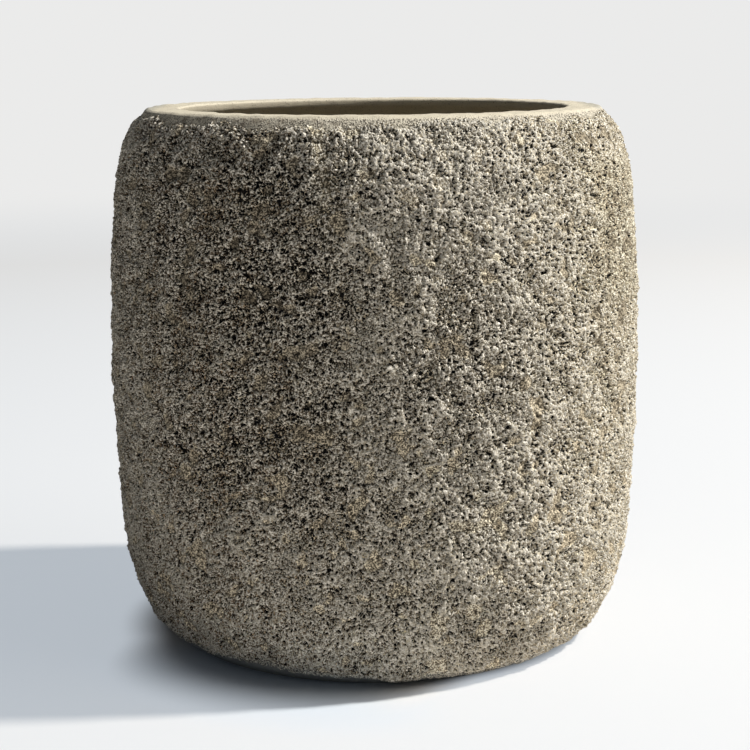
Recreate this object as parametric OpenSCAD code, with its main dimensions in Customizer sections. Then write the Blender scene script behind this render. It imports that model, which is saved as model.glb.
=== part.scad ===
// Barrel planter: a thick pot of fired clay, round in plan, with a gritty crust over its outside,
// a smooth slip over its rim and inside, and a rubber bung in the drain hole.
// The origin is at the centre of the foot on the ground, with Z up and the front towards -Y.

/* [Overall size] */
// Height from the ground to the top of the rim
height = 400; // [392:1:410]
// Greatest width, across the crust at the belly
overall_d = 400; // [360:1:440]
// Height of the belly, where the pot is widest
belly_z = 214; // [204:1:222]

/* [Side curve] */
// Radius of the long curve from the belly up to the shoulder
upper_long_r = 1320; // [1200:20:1600]
// Radius of the shoulder
shoulder_r = 110; // [104:1:116]
// Radius of the long curve from the belly down
lower_long_r = 1640; // [1400:20:2000]
// Radius of the lower side, where the pot draws in
lower_side_r = 153; // [140:1:165]
// Radius of the heel, where the side turns under
heel_r = 26; // [20:1:32]
// Direction that the heel faces where it meets the foot, in degrees below level
heel_turn = 66; // [60:1:72]

/* [Rim and mouth] */
// How far the rim's outer corner lies in from the widest part, before it is rounded
rim_inset = 30; // [27:0.5:33]
// Width of the rim, from its outer corner to the mouth
rim_w = 25; // [22:0.5:30]
// Rounding of the rim's outer corner
rim_corner_r = 3; // [2:0.5:5]
// Rounding of the mouth's edge
mouth_edge_r = 1.5; // [1:0.5:6]
// Height of the smooth band between the crust and the top of the rim
rim_band = 6; // [4:0.5:14]

/* [Wall, floor and foot] */
// Thickness of the fired clay wall
wall_t = 20; // [16:1:24]
// Height of the clay floor above the ground
floor_z = 29; // [26:1:34]
// Rounding between the floor and the wall
floor_corner_r = 40; // [30:1:50]
// How far the end of the heel lies in from the widest part
heel_inset = 42.5; // [40:0.5:46]
// Height of the foot below the heel
foot_h = 3; // [2:0.5:5]
// How far the foot is set in from the end of the heel
foot_inset = 2; // [1:0.5:4]
// Rounding of the foot's outer corner
foot_corner_r = 1.5; // [0.5:0.5:2]
// Width of the ring that the pot stands on
foot_ring_w = 22; // [16:1:30]
// Depth of the hollow inside the foot ring
foot_hollow_h = 5; // [4.5:0.5:8]

/* [Crust and slip] */
// Thickness of the crust at the belly
crust_t = 3; // [2:0.5:5]
// Thickness of the crust at its two edges
crust_edge_t = 1.2; // [0.8:0.2:2]
// Length over which the crust thins towards its edges
crust_thinning_l = 9; // [6:1:14]
// Direction that the heel faces where the crust ends, in degrees below level
crust_heel_turn = 50; // [44:1:56]
// Thickness of the slip
slip_t = 1; // [0.8:0.1:1.5]

/* [Drain and bung] */
// Width of the drain hole
drain_d = 32; // [26:1:38]
// Width of the bung's flange
bung_flange_d = 46; // [42:1:54]
// Thickness of the bung's flange
bung_flange_t = 4; // [3:0.5:6]
// Height of the bung's grip above its flange
bung_grip_h = 14; // [12:1:20]
// Width of the bung's grip
bung_grip_d = 18; // [14:1:20]
// Rounding of the grip's rim
bung_grip_round = 3.5; // [2.5:0.5:4]
// Width of the neck below the grip
bung_neck_d = 10; // [8:1:12]
// Height of the neck below the grip
bung_neck_h = 4; // [2:0.5:4.5]
// Number of sealing ribs on the bung
bung_ribs = 3; // [2:1:4]
// How far the ribs stand out from the bung's body
bung_rib_r = 1.5; // [1:0.1:2]
// Gap between the sealing ribs and the hole
bung_gap = 0.05; // [0.02:0.01:0.1]
// How much the bung's radius narrows towards its tip
bung_taper = 1.5; // [0.5:0.5:3]
// Length of the narrowed tip
bung_tip_l = 7; // [4:1:9]
// How far the bung stops short of the hole's lower end
bung_tip_gap = 1; // [0.5:0.5:3]

/* [Hidden] */
$fn = 96;
// Steps on each long curve, each tight curve and each small rounding
LONG_STEPS = 10;
TIGHT_STEPS = 14;
ROUND_STEPS = 5;
// Rounding of the upper edge of the bung's flange
FLANGE_ROUND = 1.5;

// The side curve is worked out with heights measured from the belly. Above the belly they count
// upwards and below it downwards, so one set of functions serves the shoulder and the heel.
belly_r = overall_d / 2 - crust_t;
clay_top = height - slip_t;
rim_d = overall_d - 2 * rim_inset;
mouth_d = rim_d - 2 * rim_w;
foot_d = overall_d - 2 * heel_inset;
mouth_r = mouth_d / 2 + slip_t;
rim_end = [rim_d / 2 - slip_t, clay_top - belly_z];
heel_end = [foot_d / 2, belly_z - foot_h];
upper_centre = [belly_r - upper_long_r, 0];
lower_centre = [belly_r - lower_long_r, 0];

// Centre of a curve that runs smoothly from a wider curve into a tighter one. A point to end at is
// a tighter curve with a radius of 0.
function joining_centre(wide_centre, wide_r, r, tight_centre, tight_r) =
    let (gap = tight_centre - wide_centre)
    let (reach = norm(gap))
    let (along = ((wide_r - r) ^ 2 - (r - tight_r) ^ 2 + reach ^ 2) / (2 * reach))
    let (across = sqrt((wide_r - r) ^ 2 - along ^ 2))
    wide_centre + (along * gap + across * [gap.y, -gap.x]) / reach;

// Centre of a small rounding that touches a larger circle from inside, at a given height
function rounding_centre(centre, centre_gap, y) =
    [centre.x + sqrt(centre_gap ^ 2 - (y - centre.y) ^ 2), y];

// Direction from one point to another, in degrees
function direction(from, to) = atan2(to.y - from.y, to.x - from.x);

// Points along an arc
function arc(centre, r, from, to, steps) =
    [for (i = [0:steps]) let (a = from + (to - from) * i / steps) centre + r * [cos(a), sin(a)]];

// Heights measured from the belly, turned into heights above the ground
function above_belly(points) = [for (p = points) [p.x, belly_z + p.y]];
function below_belly(points) = [for (p = points) [p.x, belly_z - p.y]];
function backwards(points) = [for (i = [len(points) - 1:-1:0]) points[i]];

shoulder_centre = joining_centre(upper_centre, upper_long_r, shoulder_r, rim_end, 0);
shoulder_from = direction(upper_centre, shoulder_centre);
heel_centre = heel_end - heel_r * [cos(heel_turn), sin(heel_turn)];
side_centre = joining_centre(lower_centre, lower_long_r, lower_side_r, heel_centre, heel_r);
side_from = direction(lower_centre, side_centre);
heel_from = direction(side_centre, heel_centre);

// The rim's two roundings, which end on its flat top
rim_corner_centre = rounding_centre(
    shoulder_centre, shoulder_r - rim_corner_r, rim_end.y - rim_corner_r);
rim_corner_from = direction(shoulder_centre, rim_corner_centre);
mouth_edge_centre = [mouth_r + mouth_edge_r, rim_end.y - mouth_edge_r];

// The curve between the inside wall and the floor
floor_corner_centre = rounding_centre(
    lower_centre, lower_long_r - wall_t - floor_corner_r, belly_z - floor_z - floor_corner_r);
floor_corner_from = direction(lower_centre, floor_corner_centre);

// Where the crust ends on the shoulder
crust_shoulder_to = asin((clay_top - rim_band - belly_z - shoulder_centre.y) / shoulder_r);

foot_r = foot_d / 2 - foot_inset;
drain_r = drain_d / 2;
bung_z = floor_z + slip_t;

// Bare end of the heel, from the foot up to the crust
bare_heel = below_belly(backwards(
    arc(heel_centre, heel_r, crust_heel_turn, heel_turn, ROUND_STEPS)));

// Side of the clay that the crust covers, from the heel up over the belly to the shoulder
crusted_side = concat(
    below_belly(backwards(concat(
        arc(lower_centre, lower_long_r, 0, side_from, LONG_STEPS),
        arc(side_centre, lower_side_r, side_from, heel_from, TIGHT_STEPS),
        arc(heel_centre, heel_r, heel_from, crust_heel_turn, TIGHT_STEPS)))),
    above_belly(concat(
        arc(upper_centre, upper_long_r, 0, shoulder_from, LONG_STEPS),
        arc(shoulder_centre, shoulder_r, shoulder_from, crust_shoulder_to, TIGHT_STEPS))));

// Rim, inside wall and floor, a given distance out from the clay's own surface
function inside(out) =
    let (tight_r = shoulder_r - wall_t - out)
    let (neck_turn = acos((mouth_r - out - shoulder_centre.x) / tight_r))
    concat(
        above_belly(concat(
            arc(rim_corner_centre, rim_corner_r + out, rim_corner_from, 90, ROUND_STEPS),
            arc(mouth_edge_centre, mouth_edge_r + out, 90, 180, ROUND_STEPS),
            arc(shoulder_centre, tight_r, neck_turn, shoulder_from, TIGHT_STEPS),
            arc(upper_centre, upper_long_r - wall_t - out, shoulder_from, 0, LONG_STEPS))),
        below_belly(concat(
            arc(lower_centre, lower_long_r - wall_t - out, 0, floor_corner_from, LONG_STEPS),
            arc(floor_corner_centre, floor_corner_r - out, floor_corner_from, 90, TIGHT_STEPS))),
        [[drain_r, floor_z + out]]);

// Stretch of the outside that the slip covers, from the crust's edge to the rim's corner
function slip_band(out) = above_belly(
    arc(shoulder_centre, shoulder_r + out, crust_shoulder_to, rim_corner_from, ROUND_STEPS));

// Crust thickness, at a distance along the surface from the crust's edge
function crust_at(left) =
    crust_edge_t + (crust_t - crust_edge_t) * sin(90 * min(1, left / crust_thinning_l));

// Outside of the crust on a tight curve, with the length of crust that lies beyond the curve
function crust_arc(centre, r, from, to, beyond) =
    [for (i = [0:TIGHT_STEPS])
        let (a = from + (to - from) * i / TIGHT_STEPS)
        centre + (r + crust_at(beyond + arc_length(r, to - a))) * [cos(a), sin(a)]];

function arc_length(r, turn) = r * turn * PI / 180;

// A solid of revolution about the pot's axis
module turned(points) {
    rotate_extrude($fn = 180) polygon(points);
}

// The fired clay: wall, rim, floor, heel and foot ring in one piece, with the drain hole
module clay_body() {
    foot = concat(
        [[drain_r, foot_hollow_h]],
        [[foot_r - foot_ring_w, foot_hollow_h]],
        [[foot_r - foot_ring_w, 0]],
        arc([foot_r - foot_corner_r, foot_corner_r], foot_corner_r, -90, 0, ROUND_STEPS),
        [[foot_r, foot_h]]);
    color("slategray") turned(concat(foot, bare_heel, crusted_side, slip_band(0), inside(0)));
}

// The gritty crust over the clay, thinner towards its edges
module rough_crust() {
    on_heel = arc_length(heel_r, crust_heel_turn - heel_from);
    crust_side = concat(
        below_belly(backwards(concat(
            arc(lower_centre, lower_long_r + crust_t, 0, side_from, LONG_STEPS),
            crust_arc(side_centre, lower_side_r, side_from, heel_from, on_heel),
            crust_arc(heel_centre, heel_r, heel_from, crust_heel_turn, 0)))),
        above_belly(concat(
            arc(upper_centre, upper_long_r + crust_t, 0, shoulder_from, LONG_STEPS),
            crust_arc(shoulder_centre, shoulder_r, shoulder_from, crust_shoulder_to, 0))));
    color("darkkhaki") turned(concat(crust_side, backwards(crusted_side)));
}

// The smooth slip over the band below the rim, the rim, the inside wall and the floor
module smooth_slip() {
    color("tan") turned(concat(
        slip_band(0), inside(0), backwards(inside(slip_t)), backwards(slip_band(slip_t))));
}

// The rubber bung: a tapered body with sealing ribs, a flange on the floor and a grip
module drain_bung() {
    body_l = bung_z - foot_hollow_h - bung_tip_gap;
    rib_pitch = (body_l - bung_tip_l) / bung_ribs;
    core_r = drain_r - bung_gap - bung_rib_r;
    flange_r = bung_flange_d / 2;
    grip_r = bung_grip_d / 2 - bung_grip_round;
    grip_top = bung_flange_t + bung_grip_h;
    outline = concat(
        [[0, -body_l], [core_r - bung_taper, -body_l], [core_r, bung_tip_l - body_l]],
        [[core_r, 0], [flange_r, 0]],
        arc([flange_r - FLANGE_ROUND, bung_flange_t - FLANGE_ROUND], FLANGE_ROUND, 0, 90, ROUND_STEPS),
        [[bung_neck_d / 2, bung_flange_t], [bung_neck_d / 2, bung_flange_t + bung_neck_h]],
        arc([grip_r, grip_top - bung_grip_round], bung_grip_round, -60, 90, ROUND_STEPS),
        [[0, grip_top]]);
    color("dimgray") translate([0, 0, bung_z]) {
        rotate_extrude() polygon(outline);
        for (i = [0:bung_ribs - 1]) {
            translate([0, 0, -(i + 0.5) * rib_pitch])
                rotate_extrude() translate([core_r, 0]) circle(r = bung_rib_r, $fn = 24);
        }
    }
}

clay_body();
rough_crust();
smooth_slip();
drain_bung();
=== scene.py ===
import math

import bpy
from mathutils import Matrix


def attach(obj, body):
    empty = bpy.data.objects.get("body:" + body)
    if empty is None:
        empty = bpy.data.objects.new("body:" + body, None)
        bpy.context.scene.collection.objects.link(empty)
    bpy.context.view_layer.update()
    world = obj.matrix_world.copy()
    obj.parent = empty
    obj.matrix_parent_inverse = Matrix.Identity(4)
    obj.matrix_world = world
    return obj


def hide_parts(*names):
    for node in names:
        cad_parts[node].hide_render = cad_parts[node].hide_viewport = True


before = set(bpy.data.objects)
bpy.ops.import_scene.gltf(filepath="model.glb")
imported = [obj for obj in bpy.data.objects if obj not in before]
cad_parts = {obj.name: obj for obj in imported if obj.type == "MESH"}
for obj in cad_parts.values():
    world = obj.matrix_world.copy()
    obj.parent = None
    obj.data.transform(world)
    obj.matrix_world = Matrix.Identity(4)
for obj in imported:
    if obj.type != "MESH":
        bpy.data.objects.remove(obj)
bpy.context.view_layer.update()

# Spacing of the crust's patterns, from soft washes of colour down to dust, in metres
WASH = 0.045
ZONE = 0.035
PATCH = 0.015
PIT = 0.014
LUMP = 0.013
BROWN = 0.009
CRACK = 0.0058
POCK = 0.0044
KNOB = 0.0032
HOLE = 0.0021
BEAD = 0.0021
STIR = 0.0017
GLINT = 0.0012
CRUMB = 0.0011
DUST = 0.0007

# Crust: thickness over the clay, and the heights of what stands on it, in metres
CRUST_T = 0.0024
CRUST_MIN_T = 0.0012
LUMP_H = 0.0056
KNOB_H = 0.0040
FINE_H = 0.0016
CRUMB_H = 0.0014
CRACK_H = 0.0016
PIT_H = 0.0028
POCK_H = 0.0016

# Past its edges the crust's skin dips under the surface of the clay
SUNK = -0.0008

# Crust's edges: how far it thins towards them, their waves, and where they run
THINNING = 0.010
TATTER = 0.005
TATTER_H = 0.008
BAY = 0.028
BAY_H = 0.014
CRUST_EDGE_LEFT_Z = 0.3935
CRUST_EDGE_RIGHT_Z = 0.3965
CRUST_HEEL_Z = 0.0045
BARE_HEEL_H = 0.0080

# Cells of the crust's mesh, and of the slip's on the rim and inside
CRUST_CELL = 0.0008
RIM_CELL = 0.001
SLIP_CELL = 0.008
STRIPS = 10
SLIP_STEPS = 360

# Places on the pot, in metres
RIM_TOP = 0.4
WIDEST_R = 0.2
AXIS_GAP = 1e-6
FOOT_TOP = 0.0029
FOOT_EDGE = 0.157
HEEL_TOP = 0.010
CRUST_LINE_TOP = 0.3979
SLIP_BAND_FROM = 0.385
FLOOR_LEVEL = 0.0285

# Least outward part of a normal on the pot's outside
OUTWARD = 0.05

# Slip: thickness, and the waves that a hand leaves on the rim, in metres
SLIP_T = 0.001
WAVE = 0.013
WAVE_H = 0.0007

# Smear of slip that ran down the crust at the front, in metres
SMEAR_X = -0.037
SMEAR_SLANT = 0.11
SMEAR_W = 0.010
SMEAR_LOW = 0.270
SMEAR_STRAY = 0.012

# Colours of the crust: the pits' near black is partly painted shade, the lit colour is painted light on the
# lamp's side, and the glint colour is a painted highlight
PIT_COLOUR_AND_SHADE = (0.018, 0.019, 0.021, 1)
CRUST_COLOUR = (0.430, 0.385, 0.306, 1)
CRUST_PAINTED_LIT_COLOUR = (0.600, 0.535, 0.420, 1)
CRUST_BROWN_COLOUR = (0.400, 0.315, 0.225, 1)
CRUMB_COLOUR = (0.850, 0.800, 0.680, 1)
PAINTED_GLINT_COLOUR = (0.930, 0.875, 0.760, 1)
PATCH_COLOURS = (0.150, 0.135, 0.108, 1), (0.330, 0.295, 0.235, 1)
SMEAR_COLOURS = (0.260, 0.235, 0.180, 1), (0.560, 0.510, 0.400, 1)
WASHED_COLOURS = (0.360, 0.320, 0.250, 1), (0.680, 0.620, 0.500, 1)
HEEL_COLOURS = (0.160, 0.175, 0.185, 1), (0.540, 0.550, 0.530, 1)
SPECKLE_SHADES = (0.46, 0.46, 0.46, 1), (1.30, 1.30, 1.30, 1)
PALEST_COLOUR = (0.92, 0.885, 0.80)

# Colours of the slip, the clay and the rubber, and the slip's painted shade on the rim's top, on the band's
# lamp side and inside the pot
SLIP_COLOURS = (0.67, 0.620, 0.510, 1), (0.90, 0.850, 0.72, 1)
MOTTLE_COLOUR = (0.42, 0.36, 0.27, 1)
SPECK_COLOUR = (0.16, 0.14, 0.11, 1)
RIM_END_COLOUR = (0.25, 0.270, 0.265, 1)
RIM_TOP_PAINTED_SHADE = (0.84, 0.83, 0.80, 1)
BAND_PAINTED_SHADE = (0.91, 0.91, 0.91, 1)
INSIDE_PAINTED_SHADE = (0.56, 0.540, 0.500, 1)
CLAY_COLOURS = (0.17, 0.185, 0.190, 1), (0.34, 0.345, 0.335, 1)
RUBBER_COLOURS = (0.018, 0.018, 0.019, 1), (0.040, 0.039, 0.038, 1)
WHITE = (1.0, 1.0, 1.0, 1)

# Camera: place in metres, turns in degrees, lens and sensor in millimetres
CAMERA_PLACE = (0, -1.380, 0.45685)
CAMERA_DOWN = 10.80
CAMERA_ROLL = -0.39
CAMERA_LENS = 86.98
CAMERA_SENSOR = 36

# Light: turns in degrees, lengths in metres
KEY_TURN = 2.5
KEY_UP = 49
KEY_AWAY = 6.0
KEY_SIZE = 0.4
KEY_POWER = 460
KEY_COLOUR = (1.0, 0.96, 0.89)
FILL_TURN = -22
FILL_UP = 50
FILL_AWAY = 3.0
FILL_SIZE = 1.6
FILL_POWER = 14
SKY_COLOUR = (0.082, 0.087, 0.094, 1)
BACKDROP_COLOUR = (0.83, 0.83, 0.825, 1)

# Floor: colours with a painted blue shade near the foot, the glow's share in it away from the foot, and its
# radius in metres
FLOOR_COLOUR = (0.84, 0.810, 0.78, 1)
FLOOR_PAINTED_SHADE_COLOUR = (0.70, 0.770, 0.86, 1)
FLOOR_GLOW = (0.815, 0.895, 0.985, 1)
FLOOR_SHARE = 0.53
FLOOR_R = 14.0


def work_on(piece):
    """Selects one piece alone and makes it active."""
    bpy.ops.object.select_all(action="DESELECT")
    piece.select_set(True)
    bpy.context.view_layer.objects.active = piece


def copy_of(source, name):
    """A new piece with its own copy of the source's mesh."""
    piece = bpy.data.objects.new(name, source.data.copy())
    bpy.context.scene.collection.objects.link(piece)
    return piece


def outline(name, wanted):
    """The pot's outline on its right-hand side, cut from the clay, where wanted(place, normal) holds."""
    line = copy_of(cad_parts["clay_body"], name)
    line.data.materials.clear()
    work_on(line)
    bpy.ops.object.mode_set(mode="EDIT")
    bpy.ops.mesh.customdata_custom_splitnormals_clear()
    bpy.ops.mesh.select_all(action="SELECT")
    bpy.ops.mesh.remove_doubles(threshold=AXIS_GAP)
    bpy.ops.mesh.select_all(action="DESELECT")
    bpy.ops.mesh.select_mode(type="VERT")
    bpy.ops.object.mode_set(mode="OBJECT")
    for point in line.data.vertices:
        on_line = abs(point.co.y) < AXIS_GAP and point.co.x > 0
        point.select = not (on_line and wanted(point.co, point.normal))
    bpy.ops.object.mode_set(mode="EDIT")
    bpy.ops.mesh.delete(type="VERT")
    bpy.ops.object.mode_set(mode="OBJECT")
    return line


def cut_finer(line, cell_at):
    """Cuts each edge of a line into lengths of about one cell, whose size depends on the height."""
    work_on(line)
    points = line.data.vertices
    cuts_of = {}
    for edge in line.data.edges:
        start, end = (points[i].co for i in edge.vertices)
        cell = cell_at((start.z + end.z) / 2)
        cuts = max(0, round((end - start).length / cell) - 1)
        cuts_of.setdefault(cuts, []).append((tuple(start), tuple(end)))
    for cuts, ends in cuts_of.items():
        if cuts == 0:
            continue
        wanted = {frozenset(pair) for pair in ends}
        bpy.ops.object.mode_set(mode="EDIT")
        bpy.ops.mesh.select_mode(type="EDGE")
        bpy.ops.mesh.select_all(action="DESELECT")
        bpy.ops.object.mode_set(mode="OBJECT")
        points = line.data.vertices
        for edge in line.data.edges:
            edge.select = frozenset(tuple(points[i].co) for i in edge.vertices) in wanted
        bpy.ops.object.mode_set(mode="EDIT")
        bpy.ops.mesh.subdivide(number_cuts=cuts)
        bpy.ops.object.mode_set(mode="OBJECT")


def spin(line, steps, turn, closed=False):
    """Turns a line about the pot's axis into a surface."""
    work_on(line)
    bpy.ops.object.mode_set(mode="EDIT")
    bpy.ops.mesh.select_all(action="SELECT")
    bpy.ops.mesh.spin(steps=steps, angle=turn, center=(0, 0, 0), axis=(0, 0, 1))
    if closed:
        bpy.ops.mesh.select_all(action="SELECT")
        bpy.ops.mesh.remove_doubles(threshold=AXIS_GAP * 10)
    bpy.ops.mesh.select_all(action="SELECT")
    bpy.ops.mesh.normals_make_consistent(inside=False)
    bpy.ops.object.mode_set(mode="OBJECT")
    bpy.ops.object.shade_smooth()


def turn_about_axis(piece, turn):
    """Turns a piece about the pot's axis and leaves its object unturned."""
    work_on(piece)
    piece.rotation_euler.z = turn
    bpy.ops.object.transform_apply(location=False, rotation=True, scale=False)


def add(tree, kind, **settings):
    """A new node in a tree, with its settings."""
    made = tree.nodes.new(kind)
    for name, value in settings.items():
        setattr(made, name, value)
    return made


def feed(tree, socket, value):
    """Links a socket to another node's output, or sets its plain value."""
    if isinstance(value, bpy.types.NodeSocket):
        tree.links.new(value, socket)
    else:
        socket.default_value = value


def number(tree, operation, *values):
    """One step of arithmetic with numbers."""
    made = add(tree, "ShaderNodeMath", operation=operation)
    for socket, value in zip(made.inputs, values):
        feed(tree, socket, value)
    return made.outputs[0]


def total(tree, *parts):
    """The sum of several numbers."""
    made = parts[0]
    for part in parts[1:]:
        made = number(tree, "ADD", made, part)
    return made


def product(tree, *parts):
    """The product of several numbers."""
    made = parts[0]
    for part in parts[1:]:
        made = number(tree, "MULTIPLY", made, part)
    return made


def vector(tree, operation, *values):
    """One step of arithmetic with vectors."""
    made = add(tree, "ShaderNodeVectorMath", operation=operation)
    for socket, value in zip(made.inputs, values):
        feed(tree, socket, value)
    return made.outputs[0]


def fade(tree, value, low, high, start=0.0, end=1.0):
    """A number that goes smoothly from start to end while the value goes from low to high."""
    made = add(tree, "ShaderNodeMapRange", interpolation_type="SMOOTHSTEP")
    for socket, each in zip(made.inputs, (value, low, high, start, end)):
        feed(tree, socket, each)
    return made.outputs[0]


def at_size(tree, place, size, seed):
    """Places measured in pattern sizes, moved along so that each seed gives another pattern."""
    return vector(tree, "MULTIPLY_ADD", place, (1 / size,) * 3, (seed * 7.3, seed * -3.1, seed * 5.7))


def clouds(tree, place, size, seed, detail=0.0):
    """Soft noise from 0 to 1 with blobs of about one size."""
    made = add(tree, "ShaderNodeTexNoise", noise_dimensions="3D")
    feed(tree, made.inputs["Vector"], at_size(tree, place, size, seed))
    feed(tree, made.inputs["Scale"], 1.0)
    feed(tree, made.inputs["Detail"], detail)
    return made


def cells(tree, place, size, seed):
    """Cells of about one size, with the distance to the middle of the nearest one."""
    made = add(tree, "ShaderNodeTexVoronoi", voronoi_dimensions="3D", feature="F1")
    feed(tree, made.inputs["Vector"], at_size(tree, place, size, seed))
    feed(tree, made.inputs["Scale"], 1.0)
    return made


def mix_colours(tree, share, first, second, blend="MIX"):
    """One colour that goes over into another."""
    made = add(tree, "ShaderNodeMix", data_type="RGBA", blend_type=blend)
    feed(tree, made.inputs["Factor"], share)
    feed(tree, made.inputs["A"], first)
    feed(tree, made.inputs["B"], second)
    return made.outputs["Result"]


def split(tree, place):
    """The three coordinates of a place."""
    made = add(tree, "ShaderNodeSeparateXYZ")
    feed(tree, made.inputs[0], place)
    return made.outputs


def facing(tree, place, direction):
    """How far a place faces a level direction, from -1 to 1."""
    flat = vector(tree, "MULTIPLY", place, (1, 1, 0))
    made = add(tree, "ShaderNodeVectorMath", operation="DOT_PRODUCT")
    feed(tree, made.inputs[0], vector(tree, "NORMALIZE", flat))
    feed(tree, made.inputs[1], direction)
    return made.outputs["Value"]


def smear(tree, place):
    """Where slip ran down over the crust at the front: 0 off it, 1 in its middle."""
    x, y, z = split(tree, place)
    fall = number(tree, "SUBTRACT", RIM_TOP, z)
    middle = number(tree, "MULTIPLY_ADD", fall, SMEAR_SLANT, SMEAR_X)
    wander = clouds(tree, place, 0.006, 21, detail=1.0).outputs["Fac"]
    stray = number(tree, "MULTIPLY_ADD", wander, SMEAR_STRAY, -SMEAR_STRAY / 2)
    off = number(tree, "ABSOLUTE", number(tree, "ADD", number(tree, "SUBTRACT", x, middle), stray))
    across = fade(tree, off, SMEAR_W, SMEAR_W * 0.2)
    down = fade(tree, z, SMEAR_LOW, 0.395)
    front = fade(tree, y, -0.10, -0.12)
    return product(tree, across, down, front)


def fine_grain(tree, place, stirred, knob):
    """The finest relief, from 0 in small holes to 1, and how far it turns into round beads."""
    wide = number(tree, "SUBTRACT", knob, 0.5)
    from_hole = number(tree, "ADD", cells(tree, stirred, HOLE, 2).outputs["Distance"], wide)
    hole = fade(tree, from_hole, 0.43, 0.29)
    full = number(tree, "SUBTRACT", 1.0, hole)
    bead = fade(tree, cells(tree, stirred, BEAD, 3).outputs["Distance"], 0.80, 0.25)
    beady = fade(tree, clouds(tree, place, ZONE, 22, detail=1.0).outputs["Fac"], 0.47, 0.66)
    fine = number(tree, "MULTIPLY_ADD", beady, number(tree, "SUBTRACT", bead, full), full)
    return fine, beady


def hollows(tree, stirred, lump):
    """Large pits, smaller pocks and thin cracks, each 1 inside and 0 outside."""
    pits = cells(tree, stirred, PIT, 7)
    pit_size = number(tree, "MULTIPLY_ADD", split(tree, pits.outputs["Color"])[0], 0.65, -0.36)
    pit = fade(tree, number(tree, "SUBTRACT", pits.outputs["Distance"], pit_size), -0.05, 0.06, 1.0, 0.0)
    pocks = cells(tree, stirred, POCK, 23)
    pock_size = number(tree, "MULTIPLY_ADD", split(tree, pocks.outputs["Color"])[1], 0.46, -0.10)
    pock = fade(tree, number(tree, "SUBTRACT", pocks.outputs["Distance"], pock_size), -0.04, 0.04, 1.0, 0.0)
    middle = number(tree, "SUBTRACT", clouds(tree, stirred, CRACK, 19, detail=1.0).outputs["Fac"], 0.5)
    thin = fade(tree, number(tree, "ABSOLUTE", middle), 0.04, 0.005)
    crack = product(tree, thin, fade(tree, lump, 0.56, 0.44))
    return pit, pock, crack


def grit(tree, place):
    """The crust's own pattern at a place on the clay: its wash from -1 to 1, and the rest from 0 to 1."""
    stir = clouds(tree, place, STIR, 1, detail=1.0).outputs["Color"]
    stirred = vector(tree, "MULTIPLY_ADD", stir, (STIR * 1.5,) * 3, place)
    crumb = fade(tree, clouds(tree, place, CRUMB, 18, detail=1.0).outputs["Fac"], 0.41, 0.59)
    knob = clouds(tree, place, KNOB, 4, detail=2.0).outputs["Fac"]
    lump = clouds(tree, place, LUMP, 5, detail=1.0).outputs["Fac"]
    fine, beady = fine_grain(tree, place, stirred, knob)
    pit, pock, crack = hollows(tree, stirred, lump)
    low = fade(tree, split(tree, place)[2], 0.30, 0.08)
    wash = fade(tree, clouds(tree, place, WASH, 10, detail=2.0).outputs["Fac"], 0.35, 0.65, -1.0, 1.0)
    patchy = clouds(tree, place, PATCH, 6, detail=1.0).outputs["Fac"]
    patch = fade(tree, number(tree, "MULTIPLY_ADD", low, 0.02, patchy), 0.61, 0.66)
    smeared = smear(tree, place)
    filled = number(tree, "MAXIMUM", product(tree, patch, 0.85), product(tree, smeared, 0.7))
    calm = number(tree, "SUBTRACT", 1.0, filled)
    return {
        "fine": fine, "beady": beady, "crumb": crumb, "knob": knob, "lump": lump,
        "pit": pit, "pock": pock, "crack": crack, "patch": patch, "smear": smeared,
        "calm": calm, "low": low, "wash": wash,
    }


def crusted(tree, place):
    """Where the crust covers the clay, from 1 to 0 past its ragged edges, and how full it is near each."""
    height = split(tree, place)[2]
    tatter = clouds(tree, place, TATTER, 8, detail=2.0).outputs["Fac"]
    bay = clouds(tree, place, BAY, 27).outputs["Fac"]
    edge = total(tree, height, number(tree, "MULTIPLY_ADD", tatter, TATTER_H, -TATTER_H / 2),
                 number(tree, "MULTIPLY_ADD", bay, BAY_H, -BAY_H / 2))
    sideways = facing(tree, place, (1, 0, 0))
    top = fade(tree, sideways, -0.9, 0.9, CRUST_EDGE_LEFT_Z, CRUST_EDGE_RIGHT_Z)
    below_top = number(tree, "SUBTRACT", top, edge)
    under_rim = product(tree, fade(tree, below_top, -0.0008, 0.0008), fade(tree, height, 0.3977, 0.3970))
    worn_side = facing(tree, place, (-0.85, -0.53, 0))
    bare = fade(tree, worn_side, 0.40, 0.88, CRUST_HEEL_Z, CRUST_HEEL_Z + BARE_HEEL_H)
    above_bare = number(tree, "SUBTRACT", edge, bare)
    over_heel = fade(tree, above_bare, -0.001, 0.001)
    full_top = fade(tree, below_top, 0.0, THINNING / 2)
    full_heel = fade(tree, above_bare, 0.0, THINNING)
    return product(tree, under_rim, over_heel), full_top, full_heel


def new_relief(name):
    """A tree of geometry nodes, with the piece that comes in and the place of each of its points."""
    tree = bpy.data.node_groups.new(name, "GeometryNodeTree")
    tree.interface.new_socket("Geometry", in_out="INPUT", socket_type="NodeSocketGeometry")
    tree.interface.new_socket("Geometry", in_out="OUTPUT", socket_type="NodeSocketGeometry")
    piece = add(tree, "NodeGroupInput").outputs[0]
    place = add(tree, "GeometryNodeInputPosition").outputs[0]
    return tree, piece, place


def raise_points(tree, piece, height):
    """Moves each point of a piece out along its normal, and ends the tree there."""
    scaled = add(tree, "ShaderNodeVectorMath", operation="SCALE")
    feed(tree, scaled.inputs[0], add(tree, "GeometryNodeInputNormal").outputs[0])
    feed(tree, scaled.inputs["Scale"], height)
    move = add(tree, "GeometryNodeSetPosition")
    feed(tree, move.inputs["Geometry"], piece)
    feed(tree, move.inputs["Offset"], scaled.outputs[0])
    end = add(tree, "NodeGroupOutput")
    tree.links.new(move.outputs["Geometry"], end.inputs[0])


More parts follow.
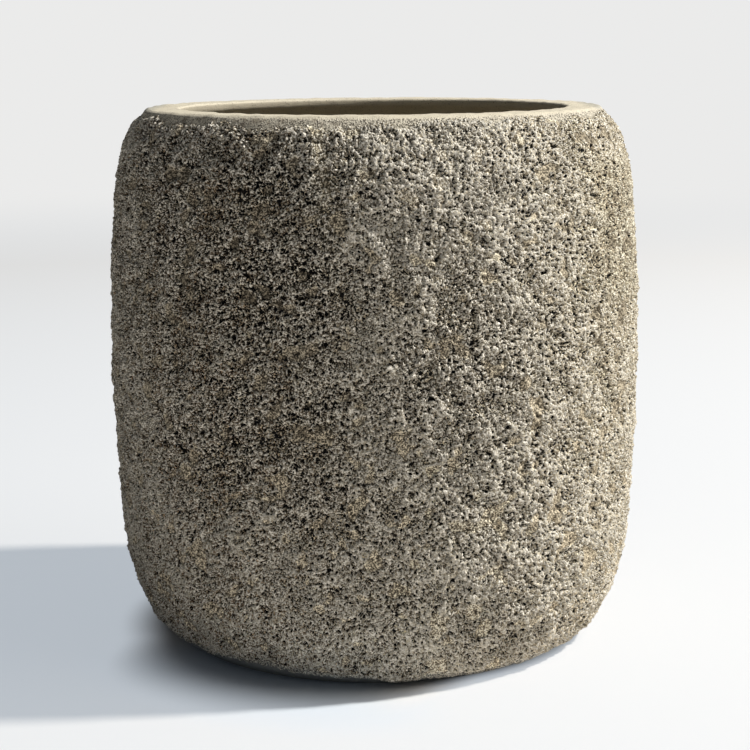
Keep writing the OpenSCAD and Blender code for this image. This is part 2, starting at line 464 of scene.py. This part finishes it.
def crust_relief():
    """Geometry nodes that raise the crust off the clay and remember where each point stood."""
    tree, piece, place = new_relief("crust relief")
    keep = add(tree, "GeometryNodeStoreNamedAttribute", data_type="FLOAT_VECTOR", domain="POINT")
    feed(tree, keep.inputs["Geometry"], piece)
    feed(tree, keep.inputs["Name"], "on_clay")
    feed(tree, keep.inputs["Value"], place)
    parts = grit(tree, place)
    fine = product(tree, number(tree, "MULTIPLY_ADD", parts["fine"], FINE_H, -FINE_H / 2), parts["calm"])
    knobs = number(tree, "MULTIPLY_ADD", parts["knob"], KNOB_H, -KNOB_H / 2)
    lumps = number(tree, "MULTIPLY_ADD", parts["lump"], LUMP_H, -LUMP_H / 2)
    sunken = total(tree, product(tree, parts["pit"], -PIT_H), product(tree, parts["pock"], -POCK_H),
                   product(tree, parts["crack"], -CRACK_H))
    cover, full_top, full_heel = crusted(tree, place)
    full = product(tree, full_top, full_heel)
    rise = product(tree, total(tree, knobs, lumps, sunken, CRUST_T - CRUST_MIN_T), full)
    fine = product(tree, fine, number(tree, "MULTIPLY_ADD", full, 0.6, 0.4))
    height = number(tree, "MAXIMUM", total(tree, fine, rise, CRUST_MIN_T + 0.0003), CRUST_MIN_T)
    height = number(tree, "MULTIPLY_ADD", cover, number(tree, "SUBTRACT", height, SUNK), SUNK)
    raise_points(tree, keep.outputs["Geometry"], height)
    return tree


def rim_waves():
    """Geometry nodes that leave the slip slightly uneven on the rim, as a hand leaves it."""
    tree, piece, place = new_relief("rim waves")
    wave = fade(tree, clouds(tree, place, WAVE, 20, detail=3.0).outputs["Fac"], 0.30, 0.75, 0.0, WAVE_H)
    at_rim = fade(tree, split(tree, place)[2], 0.388, 0.396)
    raise_points(tree, piece, product(tree, wave, at_rim))
    return tree


def apply_relief(piece, relief):
    """Shapes a piece with a tree of geometry nodes."""
    modifier = piece.modifiers.new("relief", "NODES")
    modifier.node_group = relief
    work_on(piece)
    bpy.ops.object.modifier_apply(modifier="relief")


def plain_material(name):
    """A new material, with its node tree and its shader."""
    made = bpy.data.materials.new(name)
    made.use_nodes = True
    tree = made.node_tree
    return made, tree, tree.nodes["Principled BSDF"]


def bumpy(tree, shader, height):
    """Bump whose height is given in metres."""
    bump = add(tree, "ShaderNodeBump")
    bump.inputs["Distance"].default_value = 1.0
    bump.inputs["Strength"].default_value = 1.0
    feed(tree, bump.inputs["Height"], height)
    tree.links.new(bump.outputs[0], shader.inputs["Normal"])


def crust_zones(tree, place):
    """Broad zones of the crust, each from 0 to 1, most of them for painted light and shade."""
    height = split(tree, place)[2]
    sideways = facing(tree, place, (1, 0, 0))
    return {
        "lit": fade(tree, sideways, 0.30, 0.85),
        # The side away from the lamp: browner, and slightly darker by painted shade.
        "dark": fade(tree, sideways, 0.05, -0.60),
        # Painted light on the upper front, just right of the middle.
        "painted_light_front": product(tree, fade(tree, facing(tree, place, (0.25, -0.97, 0)), 0.88, 0.99),
                         fade(tree, height, 0.26, 0.35)),
        # Darker towards the front left, from low to middle height.
        "front_left_darker": product(tree, fade(tree, facing(tree, place, (-0.47, -0.88, 0)), 0.88, 0.99),
                         fade(tree, height, 0.06, 0.20), fade(tree, height, 0.385, 0.335, 0.45, 1.0)),
        # Painted light on the front right.
        "sunny": fade(tree, facing(tree, place, (0.46, -0.89, 0)), 0.88, 0.99),
        "upper": fade(tree, height, 0.355, 0.392),
    }


def crust_peak(tree, parts, zones):
    """How far a spot stands out of the crust, from below 0 in pits to about 1 on the highest crumbs."""
    # Fewer crumbs show on the lamp's side, as part of the painted light there.
    crumb_share = number(tree, "MULTIPLY_ADD", zones["lit"], -0.22, 0.50)
    return total(tree, product(tree, parts["fine"], 0.72), product(tree, parts["crumb"], crumb_share),
                 product(tree, parts["beady"], 0.13),
                 number(tree, "MULTIPLY_ADD", parts["knob"], 0.9, -0.45),
                 number(tree, "MULTIPLY_ADD", parts["lump"], 0.5, -0.25),
                 product(tree, parts["pit"], -0.25), product(tree, parts["crack"], -0.25),
                 product(tree, parts["pock"], -0.90), product(tree, zones["painted_light_front"], 0.06),
                 product(tree, parts["wash"], 0.10), product(tree, zones["front_left_darker"], -0.23),
                 product(tree, parts["low"], 0.04), -0.02)


def crust_grain(tree, place, peak, zones):
    """The crust's colours: near black in its pits, partly painted shade, brown between, and cream on its
    crumbs, with a painted lit copy on the lamp's side and painted glints.
    """
    # Painted light: a paler copy of the crust's colour on the lamp's side.
    plain = mix_colours(tree, zones["lit"], CRUST_COLOUR, CRUST_PAINTED_LIT_COLOUR)
    brown = fade(tree, clouds(tree, place, BROWN, 24, detail=2.0).outputs["Fac"], 0.40, 0.62)
    plain = mix_colours(tree, product(tree, brown, zones["dark"]), plain, CRUST_BROWN_COLOUR)
    # Near black in the pits and cracks: partly their own dark colour, partly painted shade in the hollows.
    colour = mix_colours(tree, fade(tree, peak, 0.12, 0.56), PIT_COLOUR_AND_SHADE, plain)
    # On the lamp's side fewer cream crumbs stand out, as part of the painted light there.
    strength = number(tree, "MULTIPLY_ADD", zones["lit"], -0.50, 1.0)
    bright = product(tree, fade(tree, peak, 0.56, 0.96), strength)
    colour = mix_colours(tree, bright, colour, CRUMB_COLOUR)
    # Painted highlights: sparse pale glints on the raised grains.
    glint = fade(tree, clouds(tree, place, GLINT, 25).outputs["Fac"], 0.66, 0.71)
    glint = product(tree, glint, fade(tree, peak, 0.20, 0.50), 0.7)
    return mix_colours(tree, glint, colour, PAINTED_GLINT_COLOUR)


def crust_wear(tree, place, colour, parts, dust):
    """The crust's colour with its filled patches, the smear of slip, its thin edge and the bare heel."""
    filled = mix_colours(tree, dust, *PATCH_COLOURS)
    colour = mix_colours(tree, product(tree, parts["patch"], 0.7), colour, filled)
    pale = mix_colours(tree, dust, *SMEAR_COLOURS)
    colour = mix_colours(tree, product(tree, parts["smear"], 0.6), colour, pale)
    full_top, full_heel = crusted(tree, place)[1:]
    washed = mix_colours(tree, parts["crumb"], *WASHED_COLOURS)
    colour = mix_colours(tree, fade(tree, full_top, 0.1, 0.8, 0.6, 0.0), colour, washed)
    bare = mix_colours(tree, dust, *HEEL_COLOURS)
    return mix_colours(tree, fade(tree, full_heel, 0.0, 0.8, 0.75, 0.0), colour, bare)


def crust_finish():
    """Pale cream peaks over grey brown, with near-black pits that are partly painted shade, and painted
    light and shade laid on by broad zones.
    """
    made, tree, shader = plain_material("gritty crust")
    kept = add(tree, "ShaderNodeAttribute", attribute_name="on_clay", attribute_type="GEOMETRY")
    place = kept.outputs["Vector"]
    parts = grit(tree, place)
    zones = crust_zones(tree, place)
    dust = clouds(tree, place, DUST, 9, detail=1.0).outputs["Fac"]
    colour = crust_grain(tree, place, crust_peak(tree, parts, zones), zones)
    colour = crust_wear(tree, place, colour, parts, dust)
    # Fine speckle: darker between the crumbs and paler on them, weaker on the lamp's side as part of the
    # painted light there.
    speckle = mix_colours(tree, parts["crumb"], *SPECKLE_SHADES)
    speckle = mix_colours(tree, product(tree, zones["lit"], 0.4), speckle, WHITE)
    colour = mix_colours(tree, 1.0, colour, speckle, blend="MULTIPLY")
    harder = add(tree, "ShaderNodeGamma")
    feed(tree, harder.inputs["Color"], colour)
    feed(tree, harder.inputs["Gamma"], 1.34)
    # Painted light and shade by zone: much paler on the upper front and on the front right, slightly darker
    # on the side away from the lamp; also lighter towards the bottom and towards the rim.
    tone = total(tree, product(tree, parts["low"], 0.72), product(tree, zones["painted_light_front"], 1.05),
                 product(tree, zones["lit"], -0.01), product(tree, zones["sunny"], 0.40),
                 product(tree, zones["dark"], -0.05), product(tree, zones["upper"], 0.26), 1.34)
    colour = vector(tree, "MINIMUM", vector(tree, "MULTIPLY", harder.outputs[0], tone), PALEST_COLOUR)
    tree.links.new(colour, shader.inputs["Base Color"])
    shader.inputs["Roughness"].default_value = 0.92
    shader.inputs["Specular IOR Level"].default_value = 0.25
    crumbs = product(tree, parts["crumb"], CRUMB_H)
    fine = product(tree, number(tree, "MULTIPLY_ADD", parts["fine"], FINE_H * 1.2, crumbs), parts["calm"])
    bumpy(tree, shader, number(tree, "MULTIPLY_ADD", dust, CRUMB_H * 0.3, fine))
    return made


def slip_finish():
    """Smooth beige slip with fine dark specks, dirtier outside, with painted shade on the rim's top, on the
    band's lamp side and inside the pot.
    """
    made, tree, shader = plain_material("smooth slip")
    place = add(tree, "ShaderNodeTexCoord").outputs["Object"]
    x, y, z = split(tree, place)
    reach = number(tree, "SQRT", number(tree, "MULTIPLY_ADD", x, x, product(tree, y, y)))
    outer = product(tree, fade(tree, reach, 0.155, 0.165), fade(tree, z, 0.380, 0.387))
    outside = product(tree, fade(tree, z, 0.3998, 0.3975), outer)
    within = product(tree, fade(tree, z, 0.3994, 0.3984), number(tree, "SUBTRACT", 1.0, outer))
    cloudy = clouds(tree, place, 0.012, 11, detail=3.0).outputs["Fac"]
    colour = mix_colours(tree, cloudy, *SLIP_COLOURS)
    mottle = fade(tree, clouds(tree, place, 0.0045, 26, detail=2.0).outputs["Fac"], 0.52, 0.66)
    mottle = product(tree, mottle, outside, fade(tree, x, 0.08, -0.10))
    colour = mix_colours(tree, product(tree, mottle, 0.8), colour, MOTTLE_COLOUR)
    # Painted shade: the slip darker on the rim's top, on the band's lamp side and inside the pot.
    band = mix_colours(tree, fade(tree, x, 0.04, 0.12), WHITE, BAND_PAINTED_SHADE)
    shade = mix_colours(tree, outside, RIM_TOP_PAINTED_SHADE, band)
    shade = mix_colours(tree, within, shade, INSIDE_PAINTED_SHADE)
    colour = mix_colours(tree, 1.0, colour, shade, blend="MULTIPLY")
    grain = clouds(tree, place, 0.0010, 12, detail=2.0).outputs["Fac"]
    speck = fade(tree, number(tree, "MULTIPLY_ADD", outside, 0.11, grain), 0.61, 0.70)
    colour = mix_colours(tree, speck, colour, SPECK_COLOUR)
    # Blue-grey on the rim's top at its left and right ends.
    ends = fade(tree, number(tree, "ABSOLUTE", x), 0.155, 0.166)
    rim_ends_tinted = product(tree, ends, fade(tree, z, 0.3985, 0.3995))
    colour = mix_colours(tree, product(tree, rim_ends_tinted, 0.50), colour, RIM_END_COLOUR)
    tree.links.new(colour, shader.inputs["Base Color"])
    shader.inputs["Roughness"].default_value = 0.85
    rough = number(tree, "MULTIPLY_ADD", outside, 0.0016, 0.0004)
    bumpy(tree, shader, product(tree, grain, rough))
    return made


def clay_finish():
    """Bare fired clay, blue grey and slightly gritty."""
    made, tree, shader = plain_material("bare clay")
    place = add(tree, "ShaderNodeTexCoord").outputs["Object"]
    cloudy = clouds(tree, place, 0.010, 14, detail=3.0).outputs["Fac"]
    tree.links.new(mix_colours(tree, cloudy, *CLAY_COLOURS), shader.inputs["Base Color"])
    shader.inputs["Roughness"].default_value = 0.85
    bumpy(tree, shader, product(tree, clouds(tree, place, 0.0016, 15, detail=2.0).outputs["Fac"], 0.00025))
    return made


def rubber_finish():
    """Dark moulded rubber with a faint bloom."""
    made, tree, shader = plain_material("rubber")
    place = add(tree, "ShaderNodeTexCoord").outputs["Object"]
    bloom = clouds(tree, place, 0.006, 16, detail=3.0).outputs["Fac"]
    tree.links.new(mix_colours(tree, bloom, *RUBBER_COLOURS), shader.inputs["Base Color"])
    feed(tree, shader.inputs["Roughness"], fade(tree, bloom, 0.3, 0.7, 0.5, 0.7))
    bumpy(tree, shader, product(tree, clouds(tree, place, 0.0008, 17).outputs["Fac"], 0.00006))
    return made


def under_crust(place, normal):
    """Whether a point of the clay's outline lies under the crust."""
    beyond_foot = place.x > FOOT_EDGE or place.z > HEEL_TOP
    return normal.x > OUTWARD and FOOT_TOP < place.z < CRUST_LINE_TOP and beyond_foot


def under_slip(place, normal):
    """Whether a point of the clay's outline lies under the slip."""
    return place.z > FLOOR_LEVEL and (place.z > SLIP_BAND_FROM or normal.x < OUTWARD)


def make_crust():
    """The crust in upright strips, each under the limit for one piece."""
    line = outline("crust_line", under_crust)
    cut_finer(line, lambda z: CRUST_CELL)
    turn = 2 * math.pi / STRIPS
    steps = math.floor(turn * WIDEST_R / CRUST_CELL)
    spin(line, steps, turn)
    relief = crust_relief()
    finish = crust_finish()
    for i in range(STRIPS):
        strip = copy_of(line, "crust_strip_%d" % (i + 1))
        turn_about_axis(strip, turn * (i + 0.5))
        apply_relief(strip, relief)
        strip.data.materials.append(finish)
        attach(strip, "pot")
        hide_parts("rough_crust")
    bpy.data.objects.remove(line)


def make_slip():
    """The slip over the rim, the inside wall and the floor, with its band running on under the crust."""
    slip = outline("slip", under_slip)
    cut_finer(slip, lambda z: RIM_CELL if z > SLIP_BAND_FROM else SLIP_CELL)
    spin(slip, SLIP_STEPS, 2 * math.pi, closed=True)
    apply_relief(slip, rim_waves())
    shell = slip.modifiers.new("shell", "SOLIDIFY")
    shell.thickness = SLIP_T
    shell.offset = 1
    bpy.ops.object.modifier_apply(modifier="shell")
    slip.data.materials.append(slip_finish())
    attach(slip, "pot")
    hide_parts("smooth_slip")


def finish_node(name, finish):
    """Gives a CAD node its finish."""
    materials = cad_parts[name].data.materials
    materials.clear()
    materials.append(finish)


def floor_finish():
    """Matt pale floor with a painted blue shade near the foot on the front left, which the camera sees
    blended with a pale glow away from the foot; the glow lightens the floor's shadow, and starts further
    out on the shaded front left.
    """
    made, tree, shader = plain_material("floor")
    shader.inputs["Roughness"].default_value = 0.9
    shader.inputs["Specular IOR Level"].default_value = 0.0
    place = add(tree, "ShaderNodeTexCoord").outputs["Object"]
    length = add(tree, "ShaderNodeVectorMath", operation="LENGTH")
    feed(tree, length.inputs[0], place)
    reach = length.outputs["Value"]
    # Painted shadow: a bluer floor near the foot on the shaded front left, and a glow that starts further
    # from the foot there and nearer on the lamp's side.
    shade = fade(tree, facing(tree, place, (-0.50, -0.87, 0)), 0.70, 0.97)
    sunny = fade(tree, facing(tree, place, (1, 0, 0)), 0.0, 0.5)
    start = total(tree, product(tree, shade, 0.010), product(tree, sunny, -0.014), 0.162)
    end = total(tree, product(tree, shade, 0.042), product(tree, sunny, -0.038), 0.205)
    shaded = product(tree, shade, fade(tree, reach, 0.27, 0.20))
    tree.links.new(mix_colours(tree, shaded, FLOOR_COLOUR, FLOOR_PAINTED_SHADE_COLOUR), shader.inputs["Base Color"])
    near = fade(tree, reach, start, end, 0.0, FLOOR_SHARE)
    far = fade(tree, reach, 0.5, 4.0)
    seen = add(tree, "ShaderNodeLightPath").outputs["Is Camera Ray"]
    glow = add(tree, "ShaderNodeEmission")
    feed(tree, glow.inputs["Color"], mix_colours(tree, far, FLOOR_GLOW, BACKDROP_COLOUR))
    blend = add(tree, "ShaderNodeMixShader")
    feed(tree, blend.inputs[0], number(tree, "MULTIPLY", seen, number(tree, "MAXIMUM", near, far)))
    tree.links.new(shader.outputs[0], blend.inputs[1])
    tree.links.new(glow.outputs[0], blend.inputs[2])
    tree.links.new(blend.outputs[0], tree.nodes["Material Output"].inputs["Surface"])
    return made


def make_floor():
    """A plain pale floor that runs out into the backdrop."""
    bpy.ops.mesh.primitive_circle_add(vertices=96, radius=FLOOR_R, fill_type="NGON", location=(0, 0, 0))
    floor = bpy.context.active_object
    floor.name = "floor"
    floor.data.materials.append(floor_finish())


def make_lamp(name, size, power, colour, turn, up, away):
    """A round soft lamp that faces the pot from a direction given by its turn and its height angle."""
    lamp = bpy.data.lights.new(name, "AREA")
    lamp.shape = "DISK"
    lamp.size = size
    lamp.energy = power
    lamp.color = colour
    made = bpy.data.objects.new(name, lamp)
    bpy.context.scene.collection.objects.link(made)
    aim = Matrix.Rotation(math.radians(turn), 4, "Z") @ Matrix.Rotation(math.radians(90 - up), 4, "Y")
    made.matrix_world = aim @ Matrix.Translation((0, 0, away))


def make_light():
    """A warm key lamp from the right, a weak fill, and a dim sky that is seen as a pale backdrop."""
    make_lamp("key", KEY_SIZE, KEY_POWER, KEY_COLOUR, KEY_TURN, KEY_UP, KEY_AWAY)
    make_lamp("fill", FILL_SIZE, FILL_POWER, KEY_COLOUR, FILL_TURN, FILL_UP, FILL_AWAY)
    world = bpy.data.worlds.new("studio")
    world.use_nodes = True
    bpy.context.scene.world = world
    tree = world.node_tree
    seen = add(tree, "ShaderNodeLightPath").outputs["Is Camera Ray"]
    colour = mix_colours(tree, seen, SKY_COLOUR, BACKDROP_COLOUR)
    tree.links.new(colour, tree.nodes["Background"].inputs["Color"])


def make_camera():
    """The camera at the photograph's place."""
    lens = bpy.data.cameras.new("camera")
    lens.lens = CAMERA_LENS
    lens.sensor_width = CAMERA_SENSOR
    camera = bpy.data.objects.new("camera", lens)
    bpy.context.scene.collection.objects.link(camera)
    tilt = Matrix.Rotation(math.radians(90 - CAMERA_DOWN), 4, "X")
    roll = Matrix.Rotation(math.radians(CAMERA_ROLL), 4, "Z")
    camera.matrix_world = Matrix.Translation(CAMERA_PLACE) @ tilt @ roll
    bpy.context.scene.camera = camera


bpy.context.scene.view_settings.view_transform = "Standard"
make_camera()
make_light()
make_floor()
make_crust()
make_slip()
finish_node("clay_body", clay_finish())
finish_node("drain_bung", rubber_finish())
